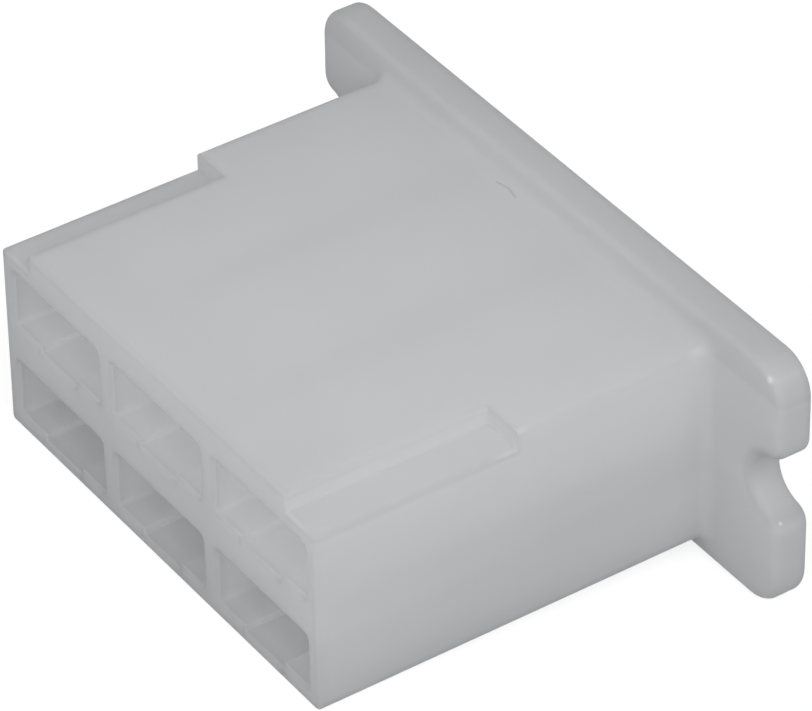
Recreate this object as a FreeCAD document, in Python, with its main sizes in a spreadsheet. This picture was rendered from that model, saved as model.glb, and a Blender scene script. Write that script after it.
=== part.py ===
"""One-piece moulded housing for six crimp receptacles of the 6.3 mm tab size, with a screw flange.

The plug end faces -Y, the wires leave towards +Y, and +Z is up. The origin lies under the middle
of the housing, level with the lower edge of the flange. All lengths are in millimetres.
"""
import FreeCAD, Part
import math
import os
import sys
from types import SimpleNamespace
from FreeCAD import Vector
from Sketcher import Constraint

# Driving dimensions, each set once.
CELLS = [
    ("columns", 3, "cavities side by side"),
    ("rows", 2, "cavities one above the other"),
    ("cavity_width", 7.8, "room for a receptacle of the 6.3 mm tab size"),
    ("cavity_height", 3.25, "room for the receptacle's rolled sides"),
    ("cavity_corner", 0.25, "radius in the corners of a cavity"),
    ("divider_wall", 1.2, "between two cavities of a row"),
    ("middle_wall", 2.28, "between the two rows"),
    ("side_wall", 0.9, "outside wall left and right"),
    ("floor_wall", 0.85, "outside wall under the lower row"),
    ("roof_wall", 0.97, "outside wall over the upper row, at the ledges"),
    ("groove_width", 3.3, "channel in a cavity's floor for the receptacle's lance"),
    ("groove_depth", 0.35, "depth of that channel"),
    ("groove_length", 15.5, "from the plug end to the shoulder that the lance locks against"),
    ("lead_in", 0.4, "chamfer round each cavity where the wires go in"),
    ("mouth_bevel", 0.2, "chamfer round each cavity at the plug end"),
    ("body_depth", 22.7, "from the plug end to the flange"),
    ("key_rise", 1.0, "height of the raised top over the two ledges"),
    ("ledge_width", 2.4, "width of the ledge along each top edge"),
    ("ledge_length", 11.5, "how far a ledge runs back from the plug end"),
    ("flange_thickness", 1.95, "thickness of the screw flange"),
    ("flange_reach", 5.65, "how far the flange stands out left and right"),
    ("brim_below", 1.3, "how far the flange stands out under the body"),
    ("brim_above", 1.65, "how far the flange stands out over the body"),
    ("flange_corner", 2.1, "corner radius of the flange"),
    ("flange_round", 0.5, "rounding of the flange's front edge"),
    ("flange_back_round", 0.4, "rounding of the flange's back edge"),
    ("notch_radius", 1.65, "end notch, clear for an M3 screw"),
    ("notch_inset", 0.6, "from the end of the flange in to the notch's centre"),
    ("notch_level", 7.5, "height of the notches over the flange's lower edge"),
    ("notch_lip", 1.0, "rounding of the notch's two lips"),
    ("root_fillet", 0.6, "fillet between the body and the flange"),
    ("body_round", 0.3, "rounding of the body's long edges"),
    ("ledge_round", 0.2, "rounding along the ledges"),
    ("face_round", 0.2, "rounding of the plug end's outline"),
]

# Sizes and places that follow from the ones above. Offsets count from the origin towards -Y.
FORMULAS = [
    ("column_pitch", "cavity_width + divider_wall"),
    ("row_pitch", "cavity_height + middle_wall"),
    ("body_width", "columns * cavity_width + (columns - 1) * divider_wall + 2 * side_wall"),
    ("ledge_height", "floor_wall + rows * cavity_height + (rows - 1) * middle_wall + roof_wall"),
    ("body_height", "ledge_height + key_rise"),
    ("total_depth", "body_depth + flange_thickness"),
    ("front_offset", "total_depth / 2"),
    ("body_left", "0 - body_width / 2"),
    ("body_bottom", "brim_below"),
    ("ledge_level", "body_bottom + ledge_height"),
    ("ledge_right_start", "body_width / 2 - ledge_width"),
    ("ledge_cut_height", "2 * key_rise"),
    ("ledge_cut_width", "2 * ledge_width"),
    ("flange_offset", "front_offset - body_depth"),
    ("flange_width", "body_width + 2 * flange_reach"),
    ("flange_height", "body_height + brim_below + brim_above"),
    ("flange_left", "0 - flange_width / 2"),
    ("flange_bottom", "0"),
    ("notch_spacing", "flange_width - 2 * notch_inset"),
    ("notch_x", "notch_spacing / 2"),
    ("notch_mouth_x", "flange_width / 2 + notch_radius"),
    ("cavity_left", "body_left + side_wall"),
    ("cavity_bottom", "body_bottom + floor_wall"),
    ("groove_left", "cavity_left + (cavity_width - groove_width) / 2"),
    ("groove_bottom", "cavity_bottom - groove_depth"),
    ("groove_cut_height", "groove_depth + cavity_height / 2"),
]

# Tolerances: what counts as the same place, and the least volume that a cut must take.
TOUCH = 1e-3
LEAST_CUT = 1e-4


def build_sheet(doc):
    """Write the driving dimensions and the formulas into a spreadsheet with named cells."""
    sheet = doc.addObject("Spreadsheet::Sheet", "Sizes")
    rows = [(alias, str(value), note) for alias, value, note in CELLS]
    rows += [(alias, "=" + formula, "") for alias, formula in FORMULAS]
    for number, (alias, content, note) in enumerate(rows, start=1):
        sheet.set("A%d" % number, alias)
        sheet.setAlias("B%d" % number, alias)
        sheet.set("B%d" % number, content)
        sheet.set("C%d" % number, note)
    doc.recompute()
    numbers = {alias: float(sheet.get(alias)) for alias, *_ in rows}
    return SimpleNamespace(**numbers)


def bind(item, prop, alias):
    """Tie a property of a feature to a cell of the spreadsheet."""
    item.setExpression(prop, "Sizes." + alias)


def new_sketch(body, name, offset_alias):
    """Start a sketch that looks along the cavities, parallel to the body's XZ plane."""
    plane = next(item for item in body.Origin.OriginFeatures if item.Role == "XZ_Plane")
    sketch = body.newObject("Sketcher::SketchObject", name)
    sketch.AttachmentSupport = [(plane, "")]
    sketch.MapMode = "FlatFace"
    bind(sketch, "AttachmentOffset.Base.z", offset_alias)
    return sketch


def hold(sketch, kind, *geometry, alias):
    """Add a dimension to a sketch and tie it to the spreadsheet."""
    index = sketch.addConstraint(Constraint(kind, *geometry))
    bind(sketch, "Constraints[%d]" % index, alias)


def add_rectangle(sketch, size, left, bottom, width, height):
    """Draw a rectangle; each argument after size is the name of a cell."""
    low = Vector(getattr(size, left), getattr(size, bottom))
    wide = Vector(getattr(size, width), 0)
    tall = Vector(0, getattr(size, height))
    corners = [low, low + wide, low + wide + tall, low + tall]
    lines = [sketch.addGeometry(Part.LineSegment(corners[i], corners[(i + 1) % 4])) for i in range(4)]
    for i in range(4):
        sketch.addConstraint(Constraint("Coincident", lines[i], 2, lines[(i + 1) % 4], 1))
        sketch.addConstraint(Constraint(("Horizontal", "Vertical")[i % 2], lines[i]))
    hold(sketch, "DistanceX", -1, 1, lines[0], 1, low.x, alias=left)
    hold(sketch, "DistanceY", -1, 1, lines[0], 1, low.y, alias=bottom)
    hold(sketch, "DistanceX", lines[0], 1, lines[0], 2, wide.x, alias=width)
    hold(sketch, "DistanceY", lines[1], 1, lines[1], 2, tall.y, alias=height)


def add_rounded_rectangle(sketch, size, left, bottom, width, height, corner):
    """Draw a rectangle with round corners; each argument after size is the name of a cell."""
    radius = getattr(size, corner)
    low = Vector(getattr(size, left), getattr(size, bottom))
    wide = Vector(getattr(size, width), 0)
    tall = Vector(0, getattr(size, height))
    corners = [low, low + wide, low + wide + tall, low + tall]
    ways = [Vector(1, 0), Vector(0, 1), Vector(-1, 0), Vector(0, -1)]
    lines = []
    arcs = []
    for i in range(4):
        start = corners[i] + ways[i] * radius
        end = corners[(i + 1) % 4] - ways[i] * radius
        lines.append(sketch.addGeometry(Part.LineSegment(start, end)))
        centre = end + ways[(i + 1) % 4] * radius
        turn = (i - 1) * math.pi / 2
        circle = Part.Circle(centre, Vector(0, 0, 1), radius)
        arcs.append(sketch.addGeometry(Part.ArcOfCircle(circle, turn, turn + math.pi / 2)))
    for i in range(4):
        sketch.addConstraint(Constraint("Tangent", lines[i], 2, arcs[i], 1))
        sketch.addConstraint(Constraint("Tangent", arcs[i], 2, lines[(i + 1) % 4], 1))
        sketch.addConstraint(Constraint(("Horizontal", "Vertical")[i % 2], lines[i]))
    for arc in arcs[1:]:
        sketch.addConstraint(Constraint("Equal", arcs[0], arc))
    hold(sketch, "Radius", arcs[0], radius, alias=corner)
    hold(sketch, "DistanceX", -1, 1, lines[3], 1, low.x, alias=left)
    hold(sketch, "DistanceY", -1, 1, lines[0], 1, low.y, alias=bottom)
    hold(sketch, "DistanceX", lines[3], 1, lines[1], 1, wide.x, alias=width)
    hold(sketch, "DistanceY", lines[0], 1, lines[2], 1, tall.y, alias=height)


def add_notch_outline(sketch, size):
    """Draw the U of the right-hand end notch, open past the end of the flange."""
    radius = size.notch_radius
    centre = Vector(size.notch_x, size.notch_level)
    circle = Part.Circle(centre, Vector(0, 0, 1), radius)
    arc = sketch.addGeometry(Part.ArcOfCircle(circle, math.pi / 2, 3 * math.pi / 2))
    low = Vector(size.notch_x, size.notch_level - radius)
    high = Vector(size.notch_x, size.notch_level + radius)
    low_out = Vector(size.notch_mouth_x, low.y)
    high_out = Vector(size.notch_mouth_x, high.y)
    under = sketch.addGeometry(Part.LineSegment(low, low_out))
    mouth = sketch.addGeometry(Part.LineSegment(low_out, high_out))
    over = sketch.addGeometry(Part.LineSegment(high_out, high))
    sketch.addConstraint(Constraint("Tangent", arc, 2, under, 1))
    sketch.addConstraint(Constraint("Coincident", under, 2, mouth, 1))
    sketch.addConstraint(Constraint("Coincident", mouth, 2, over, 1))
    sketch.addConstraint(Constraint("Tangent", over, 2, arc, 1))
    sketch.addConstraint(Constraint("Horizontal", under))
    sketch.addConstraint(Constraint("Vertical", mouth))
    sketch.addConstraint(Constraint("Horizontal", over))
    hold(sketch, "Radius", arc, radius, alias="notch_radius")
    hold(sketch, "DistanceX", -1, 1, arc, 3, centre.x, alias="notch_x")
    hold(sketch, "DistanceY", -1, 1, arc, 3, centre.y, alias="notch_level")
    hold(sketch, "DistanceX", -1, 1, mouth, 1, low_out.x, alias="notch_mouth_x")


def add_pad(body, name, sketch, length):
    """Grow a sketch towards +Y."""
    pad = body.newObject("PartDesign::Pad", name)
    pad.Profile = sketch
    pad.Reversed = True
    bind(pad, "Length", length)


def add_pocket(body, name, sketch, length=None):
    """Cut a sketch towards +Y, to a depth or right through, and check that it took something away."""
    body.Document.recompute()
    before = body.Shape.Volume
    pocket = body.newObject("PartDesign::Pocket", name)
    pocket.Profile = sketch
    pocket.Reversed = False
    if length:
        bind(pocket, "Length", length)
    else:
        pocket.Type = "ThroughAll"
    body.Document.recompute()
    if body.Shape.Volume > before - LEAST_CUT:
        sys.exit("the pocket %s cuts nothing" % name)
    return pocket


def add_mirror(body, name, originals):
    """Repeat features on the other side of the YZ plane."""
    plane = next(item for item in body.Origin.OriginFeatures if item.Role == "YZ_Plane")
    mirror = body.newObject("PartDesign::Mirrored", name)
    mirror.Originals = originals
    mirror.MirrorPlane = (plane, [""])
    body.Tip = mirror


def add_rounding(body, name, alias, wanted, kind="PartDesign::Fillet", prop="Radius"):
    """Round, or chamfer, every edge of the body whose box the test picks."""
    body.Document.recompute()
    base = body.Tip
    edges = enumerate(base.Shape.Edges, start=1)
    names = ["Edge%d" % number for number, edge in edges if wanted(edge.BoundBox)]
    if not names:
        sys.exit("no edge found for %s" % name)
    rounding = body.newObject(kind, name)
    rounding.Base = (base, names)
    bind(rounding, prop, alias)


def same(one, other):
    """Say whether two places are one place."""
    return abs(one - other) < TOUCH


def runs_along_y(box):
    """Say whether an edge is a straight one along the cavities."""
    return box.YLength > TOUCH and box.XLength < TOUCH and box.ZLength < TOUCH


def lies_at(box, y):
    """Say whether an edge lies in the plane across the cavities at y."""
    return box.YLength < TOUCH and same(box.YMin, y)


def build_housing(doc, size):
    """Build the housing: block, ledges, screw flange, end notches, roundings and cavities."""
    body = doc.addObject("PartDesign::Body", "housing")
    body.Label = "housing"

    outline = new_sketch(body, "BlockOutline", "front_offset")
    add_rectangle(outline, size, "body_left", "body_bottom", "body_width", "body_height")
    add_pad(body, "Block", outline, "total_depth")

    corner = new_sketch(body, "LedgeOutline", "front_offset")
    add_rectangle(corner, size, "ledge_right_start", "ledge_level", "ledge_cut_width", "ledge_cut_height")
    ledge = add_pocket(body, "Ledge", corner, "ledge_length")
    add_mirror(body, "Ledges", [ledge])

    plate = new_sketch(body, "FlangeOutline", "flange_offset")
    add_rounded_rectangle(
        plate, size, "flange_left", "flange_bottom", "flange_width", "flange_height", "flange_corner"
    )
    add_pad(body, "Flange", plate, "flange_thickness")

    mouth = new_sketch(body, "NotchOutline", "flange_offset")
    add_notch_outline(mouth, size)
    notch = add_pocket(body, "Notch", mouth, "flange_thickness")
    add_mirror(body, "Notches", [notch])

    round_outside(body, size)
    cut_cavities(body, size)
    return body


def round_outside(body, size):
    """Round the outside of the moulding, from its largest radii to its smallest."""
    half_width = size.body_width / 2
    body_top = size.body_bottom + size.body_height
    front = -size.front_offset
    flange_face = -size.flange_offset
    back = front + size.total_depth

    def on_notch_lip(box):
        beside = same(box.YMin, flange_face) and same(abs(box.XMin), size.flange_width / 2)
        level = abs(box.ZMin - size.notch_level)
        return runs_along_y(box) and beside and same(level, size.notch_radius)

    def on_long_edge(box):
        side = same(abs(box.XMin), half_width)
        level = same(box.ZMin, size.body_bottom) or same(box.ZMin, body_top)
        return runs_along_y(box) and side and level

    def on_ledge(box):
        brow = same(abs(box.XMin), size.ledge_right_start) and same(box.ZMin, body_top)
        brink = same(abs(box.XMin), half_width) and same(box.ZMin, size.ledge_level)
        return runs_along_y(box) and box.YMin < flange_face and (brow or brink)

    def within_body(box, margin):
        inside_x = box.XMin > -half_width - margin and box.XMax < half_width + margin
        inside_z = box.ZMin > size.body_bottom - margin and box.ZMax < body_top + margin
        return inside_x and inside_z

    def on_root(box):
        return lies_at(box, flange_face) and within_body(box, TOUCH)

    def on_flange_front(box):
        return lies_at(box, flange_face) and not within_body(box, size.root_fillet + TOUCH)

    def on_flange_back(box):
        return lies_at(box, back)

    def on_face(box):
        return lies_at(box, front)

    add_rounding(body, "NotchLips", "notch_lip", on_notch_lip)
    add_rounding(body, "LongEdges", "body_round", on_long_edge)
    add_rounding(body, "LedgeEdges", "ledge_round", on_ledge)
    add_rounding(body, "FaceEdges", "face_round", on_face)
    add_rounding(body, "RootFillet", "root_fillet", on_root)
    add_rounding(body, "FlangeFront", "flange_round", on_flange_front)
    add_rounding(body, "FlangeBack", "flange_back_round", on_flange_back)


def cut_cavities(body, size):
    """Cut the grid of cavities, each with its lance channel and its lead-in."""
    mouth = new_sketch(body, "CavityOutline", "front_offset")
    add_rounded_rectangle(
        mouth, size, "cavity_left", "cavity_bottom", "cavity_width", "cavity_height", "cavity_corner"
    )
    cavity = add_pocket(body, "Cavity", mouth)

    channel = new_sketch(body, "GrooveOutline", "front_offset")
    add_rectangle(channel, size, "groove_left", "groove_bottom", "groove_width", "groove_cut_height")
    groove = add_pocket(body, "Groove", channel, "groove_length")

    grid = body.newObject("PartDesign::LinearPattern", "CavityGrid")
    grid.Originals = [cavity, groove]
    grid.Direction = (mouth, ["H_Axis"])
    grid.Mode = "Spacing"
    bind(grid, "Offset", "column_pitch")
    grid.Direction2 = (mouth, ["V_Axis"])
    grid.Mode2 = "Spacing"
    bind(grid, "Offset2", "row_pitch")
    body.Tip = grid
    body.Document.recompute()
    # The pattern reads its counts only once its two spacings are known.
    bind(grid, "Occurrences", "columns")
    bind(grid, "Occurrences2", "rows")
    body.Document.recompute()

    front = -size.front_offset
    back = front + size.total_depth

    def in_grid(box):
        inside = box.XMin > size.body_left and box.XMax < size.body_left + size.body_width
        level = box.ZMin > size.body_bottom and box.ZMax < size.body_bottom + size.ledge_height
        return inside and level

    def on_wire_mouth(box):
        return lies_at(box, back) and in_grid(box)

    def on_plug_mouth(box):
        return lies_at(box, front) and in_grid(box)

    add_rounding(body, "LeadIn", "lead_in", on_wire_mouth, "PartDesign::Chamfer", "Size")
    add_rounding(body, "MouthBevel", "mouth_bevel", on_plug_mouth, "PartDesign::Chamfer", "Size")
    body.Document.recompute()


def check(doc, bodies):
    """Stop unless every object is computed and every body is one valid solid."""
    for item in doc.Objects:
        if "Invalid" in item.State or "Error" in item.State:
            sys.exit("%s failed: %s" % (item.Name, item.State))
    for body in bodies:
        if body.Shape.isNull() or not body.Shape.isValid() or len(body.Shape.Solids) != 1:
            sys.exit("%s is not one valid solid" % body.Label)


def main():
    doc = FreeCAD.newDocument("crimp_receptacle_housing")
    size = build_sheet(doc)
    bodies = [build_housing(doc, size)]
    doc.recompute()
    check(doc, bodies)
    os.makedirs("parts", exist_ok=True)
    for body in bodies:
        body.Shape.exportStep("parts/%s.step" % body.Label)
        box = body.Shape.optimalBoundingBox(True, False)
        print("%s: %.2f x %.2f x %.2f mm" % (body.Label, box.XLength, box.YLength, box.ZLength))
        print("from z %.3f mm, volume %.1f mm3" % (box.ZMin, body.Shape.Volume))


main()
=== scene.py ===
"""Looks of the connector housing: natural nylon in soft light, seen from the photograph's side.

Lengths are in metres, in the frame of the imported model, unless a name ends in MM.
"""
import math
import bpy
from mathutils import Matrix, Vector

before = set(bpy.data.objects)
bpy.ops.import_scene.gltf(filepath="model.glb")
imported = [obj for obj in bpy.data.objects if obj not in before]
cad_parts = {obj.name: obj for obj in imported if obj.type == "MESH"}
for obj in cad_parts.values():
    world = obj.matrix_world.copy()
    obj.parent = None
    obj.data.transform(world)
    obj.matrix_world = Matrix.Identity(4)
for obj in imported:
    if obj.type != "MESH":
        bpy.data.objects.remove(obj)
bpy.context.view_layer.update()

MM = 0.001

# Camera, worked out from the straight edges of the object in the photograph.
CAMERA_AZIMUTH = 56.01
CAMERA_ELEVATION = 37.65
CAMERA_ROLL = -0.865
CAMERA_DISTANCE = 0.29332
CAMERA_AIM = Vector((0.60, 1.83, 7.95)) * MM
CAMERA_LENS_MM = 265.7
CAMERA_NEAR = 0.01

# The flange reaches lower than the body, so the housing leans forward onto the body's front edge.
BRIM_BELOW = 1.3 * MM
LEAN_BASE = 22.7 * MM
FLANGE_FRONT = 10.375 * MM

# Light: a dim white surround and round soft lamps, each with its azimuth, elevation and radiance.
WORLD_STRENGTH = 0.37
WORLD_SEEN_STRENGTH = 1.0
LAMP_DISTANCE = 0.5
LAMP_SIZE = 0.4
LAMPS = (
    ("front lamp", -10, 20, 0.30),
    ("camera lamp", 35, 30, 1.90),
    ("side lamp", 90, 40, 1.89),
    ("top lamp", 0, 80, 0.30),
)
BOUNCES = 20
WHITE = (1, 1, 1)
BLACK = (0, 0, 0)

# Floor: half width, the grey that light bounces off, and the grey and glow that the camera sees.
FLOOR_REACH = 0.6
FLOOR_GREY = (0.3, 0.3, 0.3)
FLOOR_SEEN_GREY = (0.5, 0.5, 0.5)
FLOOR_SEEN_GLOW = 0.72

# Nylon: the share of light that a wall lets through, and the colours of both parts of the light.
# Each noise is the size of its cells in millimetres and its detail.
THROUGH = 0.5
NYLON_IOR = 1.53
SENT_BACK_PALE = (0.876, 0.881, 0.890)
SENT_BACK_GREY = (0.832, 0.838, 0.846)
# The next colour is painted light: the cavities' walls are paler, for the light that the thin walls
# let in.
SENT_BACK_INSIDE_PAINTED_LIGHT = (0.985, 0.985, 0.987)
LET_THROUGH_PALE = (0.965, 0.969, 0.978)
LET_THROUGH_GREY = (0.933, 0.938, 0.946)
CLOUD_NOISE = (6.0, 3)
CLOUD_RANGE = (0.3, 0.7)
CLOUD_SHARE = 0.35
COOL_NOISE = (9.0, 2)
COOL_RANGE = (0.5, 0.7)
COOL_TINT = (0.985, 1.0, 1.0)

# Surface: varying roughness, a slight waviness and a fine moulded grain.
ROUGHNESS_NOISE = (1.2, 2)
ROUGHNESS_LEAST = 0.47
ROUGHNESS_SPREAD = 0.16
WAVE_NOISE = (5.0, 1)
WAVE_HEIGHT_MM = 0.05
WAVE_STRENGTH = 0.12
GRAIN_NOISE = (0.35, 2)
GRAIN_HEIGHT_MM = 0.006
GRAIN_STRENGTH = 0.25
EDGE_RADIUS_MM = 0.8

# Where the nylon looks different: painted shade and painted light, a scratch and rubbed places, in
# millimetres of the part's frame. Each pair is where the difference starts and where it is full, and
# each shade is the part of the light that it takes.

# Painted shade on the top, darker towards its rims.
RIM_X_MM = (4.0, 13.0)
RIM_Y_MM = (5.0, 12.0)
RIM_Z_MM = (12.4, 12.8)
RIM_SHADE = 0.028

# Painted shade on the lower half of the plug end's front.
LOW_FRONT_Z_MM = (6.9, 4.5)
LOW_FRONT_Y_MM = (-11.4, -12.1)
LOW_FRONT_SHADE = 0.03

# Painted shade on the sides below the wall between the two rows; the boundary rises a little towards
# the flange.
ROWS_WALL_Z_MM = (6.6, 5.2)
ROWS_WALL_RISE = 0.055
ROWS_WALL_X_MM = (13.3, 13.6)
ROWS_WALL_TO_MM = (10.7, 10.2)
ROWS_WALL_SHADE = 0.03

# The two ledges, darkened by painted shade, with the foot of their steps, where softened edges would
# leave dark lines.
LEDGE_X_MM = (11.25, 11.5)
LEDGE_Z_MM = (11.4, 11.7)
LEDGE_TO_MM = (-0.5, -0.9)
LEDGE_SHADE = 0.06
LEDGE_SHARP_X_MM = (13.2, 12.7)
LEDGE_SHARP_TO_MM = (-0.1, -0.4)
LEDGE_END_MM = (-2.2, -1.8)

# Painted shade on the flange's rims and in its two notches.
BRIM_FROM_MM = (10.3, 10.7)
BRIM_X_MM = (18.4, 19.2)
BRIM_Z_MM = (13.6, 14.3)
BRIM_SHADE = 0.09
NOTCH_X_MM = 18.85
NOTCH_Z_MM = 7.5
NOTCH_REACH_MM = (2.5, 1.8)
NOTCH_SHADE = 0.12

# The cavities: half width, lowest and highest level of the box that they lie in, how far its sides
# fade, where the walls' painted light (a paler colour for light let in through the thin walls) and
# their own edges start behind the mouths, and the lips of the mouths, which get painted shade.
INSIDE_X_MM = 13.35
INSIDE_Z_MM = (1.75, 11.15)
INSIDE_EDGE_MM = 0.1
INSIDE_LIGHT_FROM_MM = (-12.0, -11.3)
INSIDE_SHARP_FROM_MM = (-12.25, -12.1)
LIP_FROM_MM = (-12.32, -12.26)
LIP_TO_MM = (-11.9, -12.1)
LIP_SHADE = 0.045

# A fine arched scratch on the top, and rubbed places, paler where they are rubbed and also painted
# highlights for glints: centre, radius and how much less light passes there.
HAIR_MM = ((-3.05, 9.84, 12.92), (-2.25, 10.0, 12.96), (-1.48, 9.88, 12.91))
HAIR_RADIUS_MM = 0.085
HAIR_CORE = 0.3
HAIR_SHADE = 0.16
NICKS_AND_GLINTS_MM = (
    ((18.42, 10.42, 13.87), 0.26, 0.55),
    ((19.19, 10.74, 5.52), 0.14, 0.40),
    ((16.6, 10.37, 5.38), 0.5, 0.10),
    ((17.4, 10.37, 4.6), 0.4, 0.06),
    ((13.7, 9.7, 12.85), 0.7, 0.12),
)
NICK_CORE = 0.2

# Places of a Mix node's two inputs and of its result, for vectors and for colours.
MIX_VECTOR = (4, 5, 1)
MIX_COLOUR = (6, 7, 2)


def place_camera():
    """Stand the camera where the photograph was taken from."""
    azimuth = math.radians(CAMERA_AZIMUTH)
    elevation = math.radians(CAMERA_ELEVATION)
    back = direction(azimuth, elevation)
    data = bpy.data.cameras.new("camera")
    data.lens = CAMERA_LENS_MM
    data.clip_start = CAMERA_NEAR
    camera = bpy.data.objects.new("camera", data)
    place = Matrix.Translation(CAMERA_AIM + back * CAMERA_DISTANCE)
    roll = Matrix.Rotation(math.radians(CAMERA_ROLL), 4, "Z")
    camera.matrix_world = place @ facing(-back) @ roll
    bpy.context.scene.collection.objects.link(camera)
    bpy.context.scene.camera = camera


def direction(azimuth, elevation):
    """Unit vector from the object; azimuth is 0 in front of the plug end and grows to the right."""
    flat = math.cos(elevation)
    return Vector((math.sin(azimuth) * flat, -math.cos(azimuth) * flat, math.sin(elevation)))


def facing(way):
    """Turn of a camera or lamp that looks along way."""
    return way.to_track_quat("-Z", "Y").to_matrix().to_4x4()


def light_world():
    """Surround the object with dim white light; the camera and mirror-like rays see white."""
    world = bpy.data.worlds.new("world")
    bpy.context.scene.world = world
    world.use_nodes = True
    tree = world.node_tree
    tree.nodes.clear()
    out = tree.nodes.new("ShaderNodeOutputWorld")
    light = white_background(tree, WORLD_STRENGTH)
    seen = white_background(tree, WORLD_SEEN_STRENGTH)
    mixed = mix_shaders(tree, seen_directly(tree), light, seen)
    tree.links.new(mixed, out.inputs["Surface"])


def white_background(tree, strength):
    """Shader of an even white surround."""
    node = tree.nodes.new("ShaderNodeBackground")
    node.inputs["Color"].default_value = (*WHITE, 1)
    node.inputs["Strength"].default_value = strength
    return node.outputs["Background"]


def mix_shaders(tree, share, first, second):
    """Shader that goes from first to second as share goes from 0 to 1."""
    node = tree.nodes.new("ShaderNodeMixShader")
    tree.links.new(share, node.inputs["Fac"])
    tree.links.new(first, node.inputs[1])
    tree.links.new(second, node.inputs[2])
    return node.outputs["Shader"]


def seen_directly(tree):
    """Socket that is 1 for camera, mirrored and refracted rays, and 0 for scattered light."""
    path = tree.nodes.new("ShaderNodeLightPath")
    sent = path.outputs
    sharp = maths(tree, "MAXIMUM", sent["Is Glossy Ray"], sent["Is Transmission Ray"])
    sharp = maths(tree, "SUBTRACT", sharp, sent["Is Diffuse Ray"])
    return maths(tree, "MAXIMUM", sent["Is Camera Ray"], sharp)


def add_floor():
    """Lay a pale floor under the resting housing; from below it can't be seen."""
    mesh = bpy.data.meshes.new("floor")
    reach = FLOOR_REACH
    corners = [(-reach, -reach, 0), (reach, -reach, 0), (reach, reach, 0), (-reach, reach, 0)]
    mesh.from_pydata(corners, [], [(0, 1, 2, 3)])
    mesh.materials.append(floor_material())
    floor = bpy.data.objects.new("floor", mesh)
    lean = Matrix.Rotation(-math.atan2(BRIM_BELOW, LEAN_BASE), 4, "X")
    floor.matrix_world = Matrix.Translation(Vector((0, FLANGE_FRONT, 0))) @ lean
    bpy.context.scene.collection.objects.link(floor)


def floor_material():
    """White with a faint shadow for the camera, mid grey for the light that it sends back."""
    material = bpy.data.materials.new("floor")
    material.use_nodes = True
    tree = material.node_tree
    tree.nodes.clear()
    out = tree.nodes.new("ShaderNodeOutputMaterial")
    glow = tree.nodes.new("ShaderNodeEmission")
    glow.inputs["Strength"].default_value = FLOOR_SEEN_GLOW
    seen = tree.nodes.new("ShaderNodeAddShader")
    tree.links.new(matt(tree, FLOOR_SEEN_GREY), seen.inputs[0])
    tree.links.new(glow.outputs["Emission"], seen.inputs[1])
    above = mix_shaders(tree, seen_directly(tree), matt(tree, FLOOR_GREY), seen.outputs["Shader"])
    below = tree.nodes.new("ShaderNodeBsdfTransparent")
    geometry = tree.nodes.new("ShaderNodeNewGeometry")
    both = mix_shaders(tree, geometry.outputs["Backfacing"], above, below.outputs["BSDF"])
    tree.links.new(both, out.inputs["Surface"])
    return material


def matt(tree, colour):
    """Shader of a plain matt surface."""
    node = tree.nodes.new("ShaderNodeBsdfDiffuse")
    node.inputs["Color"].default_value = (*colour, 1)
    return node.outputs["BSDF"]


def add_lamp(name, azimuth, elevation, radiance):
    """A round soft lamp that faces the middle of the housing."""
    way = direction(math.radians(azimuth), math.radians(elevation))
    data = bpy.data.lights.new(name, "AREA")
    data.shape = "DISK"
    data.size = LAMP_SIZE
    data.energy = radiance * math.pi * math.pi * (LAMP_SIZE / 2) ** 2
    lamp = bpy.data.objects.new(name, data)
    lamp.matrix_world = Matrix.Translation(way * LAMP_DISTANCE) @ facing(-way)
    bpy.context.scene.collection.objects.link(lamp)


def feed(tree, socket, value):
    """Link value to socket if it is a socket itself, or else write it there."""
    if isinstance(value, bpy.types.NodeSocket):
        tree.links.new(value, socket)
    else:
        socket.default_value = value


def maths(tree, operation, *values, clamp=False):
    """Output of one Math node; each value is a socket or a number."""
    node = tree.nodes.new("ShaderNodeMath")
    node.operation = operation
    node.use_clamp = clamp
    for socket, value in zip(node.inputs, values):
        feed(tree, socket, value)
    return node.outputs["Value"]


def vector_maths(tree, operation, *values, scale=None, output="Vector"):
    """Output of one Vector Math node; each value is a socket or three numbers."""
    node = tree.nodes.new("ShaderNodeVectorMath")
    node.operation = operation
    for socket, value in zip(node.inputs, values):
        feed(tree, socket, value)
    if scale is not None:
        tree.links.new(scale, node.inputs["Scale"])
    return node.outputs[output]


def smooth(tree, value, start, end):
    """Socket that goes softly from 0 where value is start to 1 where it is end."""
    node = tree.nodes.new("ShaderNodeMapRange")
    node.interpolation_type = "SMOOTHSTEP"
    tree.links.new(value, node.inputs["Value"])
    node.inputs["From Min"].default_value = min(start, end)
    node.inputs["From Max"].default_value = max(start, end)
    node.inputs["To Min"].default_value = 0.0 if start < end else 1.0
    node.inputs["To Max"].default_value = 1.0 if start < end else 0.0
    return node.outputs["Result"]


def noise(tree, coords, size_mm, detail):
    """Noise with cells of about size_mm."""
    node = tree.nodes.new("ShaderNodeTexNoise")
    tree.links.new(coords, node.inputs["Vector"])
    node.inputs["Scale"].default_value = 1 / size_mm
    node.inputs["Detail"].default_value = detail
    return node.outputs["Fac"]


def blend(tree, share, first, second, kind="MIX"):
    """Colour that goes from first to second as share goes from 0 to 1."""
    node = tree.nodes.new("ShaderNodeMix")
    node.data_type = "RGBA"
    node.blend_type = kind
    tree.links.new(share, node.inputs["Factor"])
    from_place, to_place, result = MIX_COLOUR
    feed(tree, node.inputs[from_place], with_alpha(first))
    feed(tree, node.inputs[to_place], with_alpha(second))
    return node.outputs[result]


def with_alpha(colour):
    """A colour socket as it is, or three numbers as an opaque colour."""
    return colour if isinstance(colour, bpy.types.NodeSocket) else (*colour, 1)


def all_of(tree, shares):
    """Product of several shares."""
    product = shares[0]
    for share in shares[1:]:
        product = maths(tree, "MULTIPLY", product, share)
    return product


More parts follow.
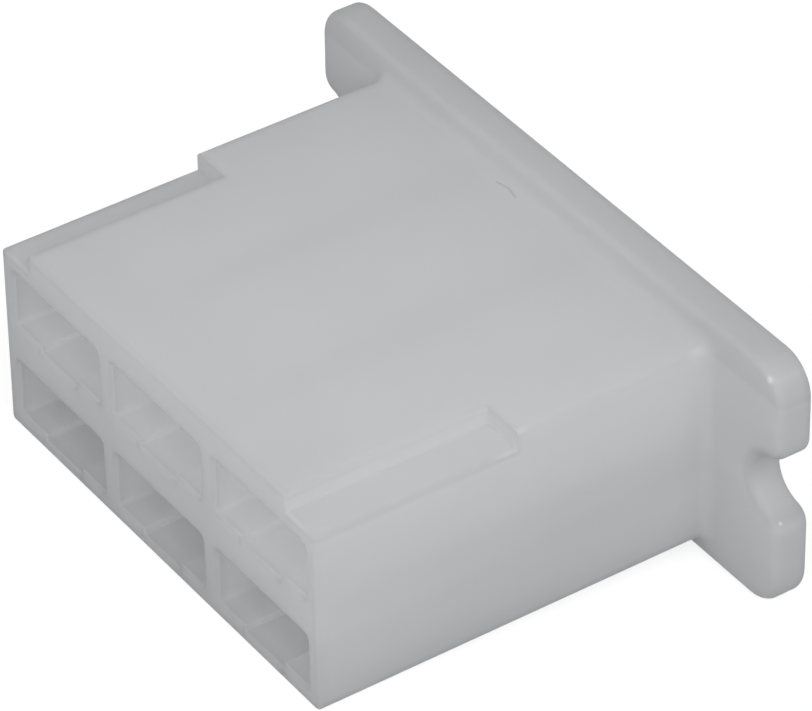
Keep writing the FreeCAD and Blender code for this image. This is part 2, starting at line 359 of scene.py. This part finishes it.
def sum_of(tree, weighted):
    """Sum of several shares, each times its weight."""
    total = 0.0
    for share, weight in weighted:
        total = maths(tree, "ADD", total, maths(tree, "MULTIPLY", share, weight))
    return total


def inside_share(tree, x, y, z, from_mm):
    """1 on the walls of the six cavities, from from_mm inwards, 0 on the outside."""
    wide = maths(tree, "ABSOLUTE", x)
    low, high = INSIDE_Z_MM
    start, end = from_mm
    return all_of(tree, (
        smooth(tree, wide, INSIDE_X_MM + INSIDE_EDGE_MM, INSIDE_X_MM),
        smooth(tree, z, low - INSIDE_EDGE_MM, low),
        smooth(tree, z, high + INSIDE_EDGE_MM, high),
        smooth(tree, y, start, end),
        smooth(tree, y, -start, -end),
    ))


def hair_share(tree, place):
    """1 along a fine arched scratch on the top by the flange, 0 away from it."""
    shares = []
    for start, end in zip(HAIR_MM, HAIR_MM[1:]):
        along = Vector(end) - Vector(start)
        offset = vector_maths(tree, "SUBTRACT", place, start)
        way = tuple(along / along.length_squared)
        part = vector_maths(tree, "DOT_PRODUCT", offset, way, output="Value")
        part = maths(tree, "ADD", part, 0.0, clamp=True)
        nearest = vector_maths(tree, "SCALE", tuple(along), scale=part)
        away = vector_maths(tree, "DISTANCE", offset, nearest, output="Value")
        shares.append(smooth(tree, away, HAIR_RADIUS_MM, HAIR_RADIUS_MM * HAIR_CORE))
    return maths(tree, "MAXIMUM", shares[0], shares[1])


def ledge_share(tree, x, y, z, to_mm):
    """1 on the two keyed ledges, painted darker where the thin wall lets light leak out, 0
    elsewhere.
    """
    return all_of(tree, (
        smooth(tree, maths(tree, "ABSOLUTE", x), *LEDGE_X_MM),
        smooth(tree, z, *LEDGE_Z_MM),
        smooth(tree, y, *to_mm),
    ))


def sharp_share(tree, x, y, z):
    """1 where edges keep their own normals: in the cavities and at the foot of the ledges' steps."""
    walls = inside_share(tree, x, y, z, INSIDE_SHARP_FROM_MM)
    inner = smooth(tree, maths(tree, "ABSOLUTE", x), *LEDGE_SHARP_X_MM)
    foot = maths(tree, "MAXIMUM", inner, smooth(tree, y, *LEDGE_END_MM))
    ledge = ledge_share(tree, x, y, z, LEDGE_SHARP_TO_MM)
    return maths(tree, "MAXIMUM", walls, maths(tree, "MULTIPLY", ledge, foot))


def lip_share(tree, x, y, z):
    """1 on the rounded lips of the cavities' mouths, which a painted shade keeps from shining."""
    lips = inside_share(tree, x, y, z, LIP_FROM_MM)
    return maths(tree, "MULTIPLY", lips, smooth(tree, y, *LIP_TO_MM))


def brim_share(tree, x, y, z):
    """1 on the flange's upper and end rims, which are painted with shade."""
    wide = smooth(tree, maths(tree, "ABSOLUTE", x), *BRIM_X_MM)
    rims = maths(tree, "MAXIMUM", wide, smooth(tree, z, *BRIM_Z_MM))
    return maths(tree, "MULTIPLY", rims, smooth(tree, y, *BRIM_FROM_MM))


def notch_share(tree, x, z):
    """1 on the walls of the two end notches, which are painted with shade."""
    across = maths(tree, "SUBTRACT", maths(tree, "ABSOLUTE", x), NOTCH_X_MM)
    up = maths(tree, "SUBTRACT", z, NOTCH_Z_MM)
    across_squared = maths(tree, "MULTIPLY", across, across)
    square = maths(tree, "ADD", across_squared, maths(tree, "MULTIPLY", up, up))
    return smooth(tree, maths(tree, "SQRT", square), *NOTCH_REACH_MM)


def rim_share(tree, x, y, z):
    """0 in the middle of the top, up to 2 towards its edges, where a painted shade stands for light
    leaking out.
    """
    rim = maths(
        tree, "ADD",
        smooth(tree, maths(tree, "ABSOLUTE", x), *RIM_X_MM),
        smooth(tree, maths(tree, "ABSOLUTE", y), *RIM_Y_MM),
    )
    return all_of(tree, (rim, smooth(tree, z, *RIM_Z_MM)))


def low_front_share(tree, y, z):
    """1 on the lower half of the plug end's front, painted with the shade that the table casts."""
    return all_of(tree, (
        smooth(tree, z, *LOW_FRONT_Z_MM),
        smooth(tree, y, *LOW_FRONT_Y_MM),
    ))


def rows_wall_share(tree, x, y, z):
    """1 on the lower part of both sides, painted with the shade of the wall between the rows, which
    keeps light out.
    """
    level = maths(tree, "SUBTRACT", z, maths(tree, "MULTIPLY", y, ROWS_WALL_RISE))
    return all_of(tree, (
        smooth(tree, level, *ROWS_WALL_Z_MM),
        smooth(tree, maths(tree, "ABSOLUTE", x), *ROWS_WALL_X_MM),
        smooth(tree, y, *ROWS_WALL_TO_MM),
    ))


def nick_and_glint_share(tree, place):
    """Sum of small pale patches where the surface is rubbed, which also stand as painted highlights
    for glints.
    """
    patches = []
    for centre, radius, weight in NICKS_AND_GLINTS_MM:
        away = vector_maths(tree, "DISTANCE", place, centre, output="Value")
        patches.append((smooth(tree, away, radius, radius * NICK_CORE), weight))
    return sum_of(tree, patches)


def edge_normals(tree, sharp):
    """Normals with softened edges where sharp is 0, and the mesh's own normals where it is 1."""
    soft = tree.nodes.new("ShaderNodeBevel")
    soft.inputs["Radius"].default_value = EDGE_RADIUS_MM * MM
    own = tree.nodes.new("ShaderNodeNewGeometry")
    edges = tree.nodes.new("ShaderNodeMix")
    edges.data_type = "VECTOR"
    from_place, to_place, result = MIX_VECTOR
    tree.links.new(sharp, edges.inputs["Factor"])
    tree.links.new(soft.outputs["Normal"], edges.inputs[from_place])
    tree.links.new(own.outputs["Normal"], edges.inputs[to_place])
    return edges.outputs[result]


def bump(tree, height, height_mm, strength, normal):
    """Normals after a relief of height_mm on top of normal."""
    node = tree.nodes.new("ShaderNodeBump")
    node.inputs["Strength"].default_value = strength
    node.inputs["Distance"].default_value = height_mm * MM
    tree.links.new(height, node.inputs["Height"])
    tree.links.new(normal, node.inputs["Normal"])
    return node.outputs["Normal"]


def relief(tree, place, sharp):
    """Normals of a fine moulded grain over a slight waviness."""
    waves = noise(tree, place, *WAVE_NOISE)
    wavy = bump(tree, waves, WAVE_HEIGHT_MM, WAVE_STRENGTH, edge_normals(tree, sharp))
    grains = noise(tree, place, *GRAIN_NOISE)
    return bump(tree, grains, GRAIN_HEIGHT_MM, GRAIN_STRENGTH, wavy)


def painted_shade_and_scratch(tree, place, x, y, z):
    """Sum of the painted shades of all places that look darker, and of the dark scratch."""
    return sum_of(tree, (
        (ledge_share(tree, x, y, z, LEDGE_TO_MM), LEDGE_SHADE),
        (lip_share(tree, x, y, z), LIP_SHADE),
        (brim_share(tree, x, y, z), BRIM_SHADE),
        (notch_share(tree, x, z), NOTCH_SHADE),
        (rim_share(tree, x, y, z), RIM_SHADE),
        (low_front_share(tree, y, z), LOW_FRONT_SHADE),
        (rows_wall_share(tree, x, y, z), ROWS_WALL_SHADE),
        (hair_share(tree, place), HAIR_SHADE),
    ))


def nylon_colours(tree, place, x, y, z):
    """Colours of the light that the surface sends back and of the light that it lets through."""
    cloud = smooth(tree, noise(tree, place, *CLOUD_NOISE), *CLOUD_RANGE)
    grey = maths(tree, "MULTIPLY", cloud, CLOUD_SHARE)
    # Painted light: the cavities' walls get a paler colour for the light that the thin walls let in.
    painted_light_inside = inside_share(tree, x, y, z, INSIDE_LIGHT_FROM_MM)
    # Painted shade on the ledges, lips, flange rims, notches, the top's rims, the lower front and
    # the lower sides, with the dark scratch.
    shade_and_scratch = painted_shade_and_scratch(tree, place, x, y, z)
    sent = blend(tree, grey, SENT_BACK_PALE, SENT_BACK_GREY)
    sent = blend(tree, painted_light_inside, sent, SENT_BACK_INSIDE_PAINTED_LIGHT)
    sent = blend(tree, shade_and_scratch, sent, BLACK)
    cool = smooth(tree, noise(tree, place, *COOL_NOISE), *COOL_RANGE)
    sent = blend(tree, cool, sent, COOL_TINT, "MULTIPLY")
    let = blend(tree, grey, LET_THROUGH_PALE, LET_THROUGH_GREY)
    let = blend(tree, shade_and_scratch, let, BLACK)
    return sent, let


def roughness(tree, place):
    """Roughness that varies from place to place."""
    uneven = noise(tree, place, *ROUGHNESS_NOISE)
    return maths(tree, "MULTIPLY_ADD", uneven, ROUGHNESS_SPREAD, ROUGHNESS_LEAST)


def nylon():
    """Milky natural nylon: part of the light comes back softly, part passes through the walls."""
    material = bpy.data.materials.new("natural nylon")
    material.use_nodes = True
    tree = material.node_tree
    shader = tree.nodes["Principled BSDF"]
    shader.inputs["IOR"].default_value = NYLON_IOR
    through = tree.nodes.new("ShaderNodeBsdfTranslucent")

    coords = tree.nodes.new("ShaderNodeTexCoord")
    place = vector_maths(tree, "MULTIPLY", coords.outputs["Object"], (1 / MM, 1 / MM, 1 / MM))
    split = tree.nodes.new("ShaderNodeSeparateXYZ")
    tree.links.new(place, split.inputs["Vector"])
    x, y, z = split.outputs

    sent, let = nylon_colours(tree, place, x, y, z)
    tree.links.new(sent, shader.inputs["Base Color"])
    tree.links.new(let, through.inputs["Color"])
    tree.links.new(roughness(tree, place), shader.inputs["Roughness"])
    normal = relief(tree, place, sharp_share(tree, x, y, z))
    tree.links.new(normal, shader.inputs["Normal"])
    tree.links.new(normal, through.inputs["Normal"])

    # Rubbed places let less light through and look paler; this is partly wear and partly a painted
    # highlight.
    share = maths(tree, "SUBTRACT", THROUGH, nick_and_glint_share(tree, place))
    mixed = mix_shaders(tree, share, shader.outputs["BSDF"], through.outputs["BSDF"])
    tree.links.new(mixed, tree.nodes["Material Output"].inputs["Surface"])
    return material


def dress_housing():
    """Give the moulding its nylon."""
    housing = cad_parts["housing"]
    housing.data.materials.clear()
    housing.data.materials.append(nylon())


def let_light_bounce():
    """Allow the many bounces that bright thin walls need."""
    cycles = bpy.context.scene.cycles
    cycles.max_bounces = BOUNCES
    cycles.diffuse_bounces = BOUNCES
    cycles.transmission_bounces = BOUNCES


bpy.context.scene.view_settings.view_transform = "Standard"
place_camera()
light_world()
for lamp in LAMPS:
    add_lamp(*lamp)
add_floor()
dress_housing()
let_light_bounce()
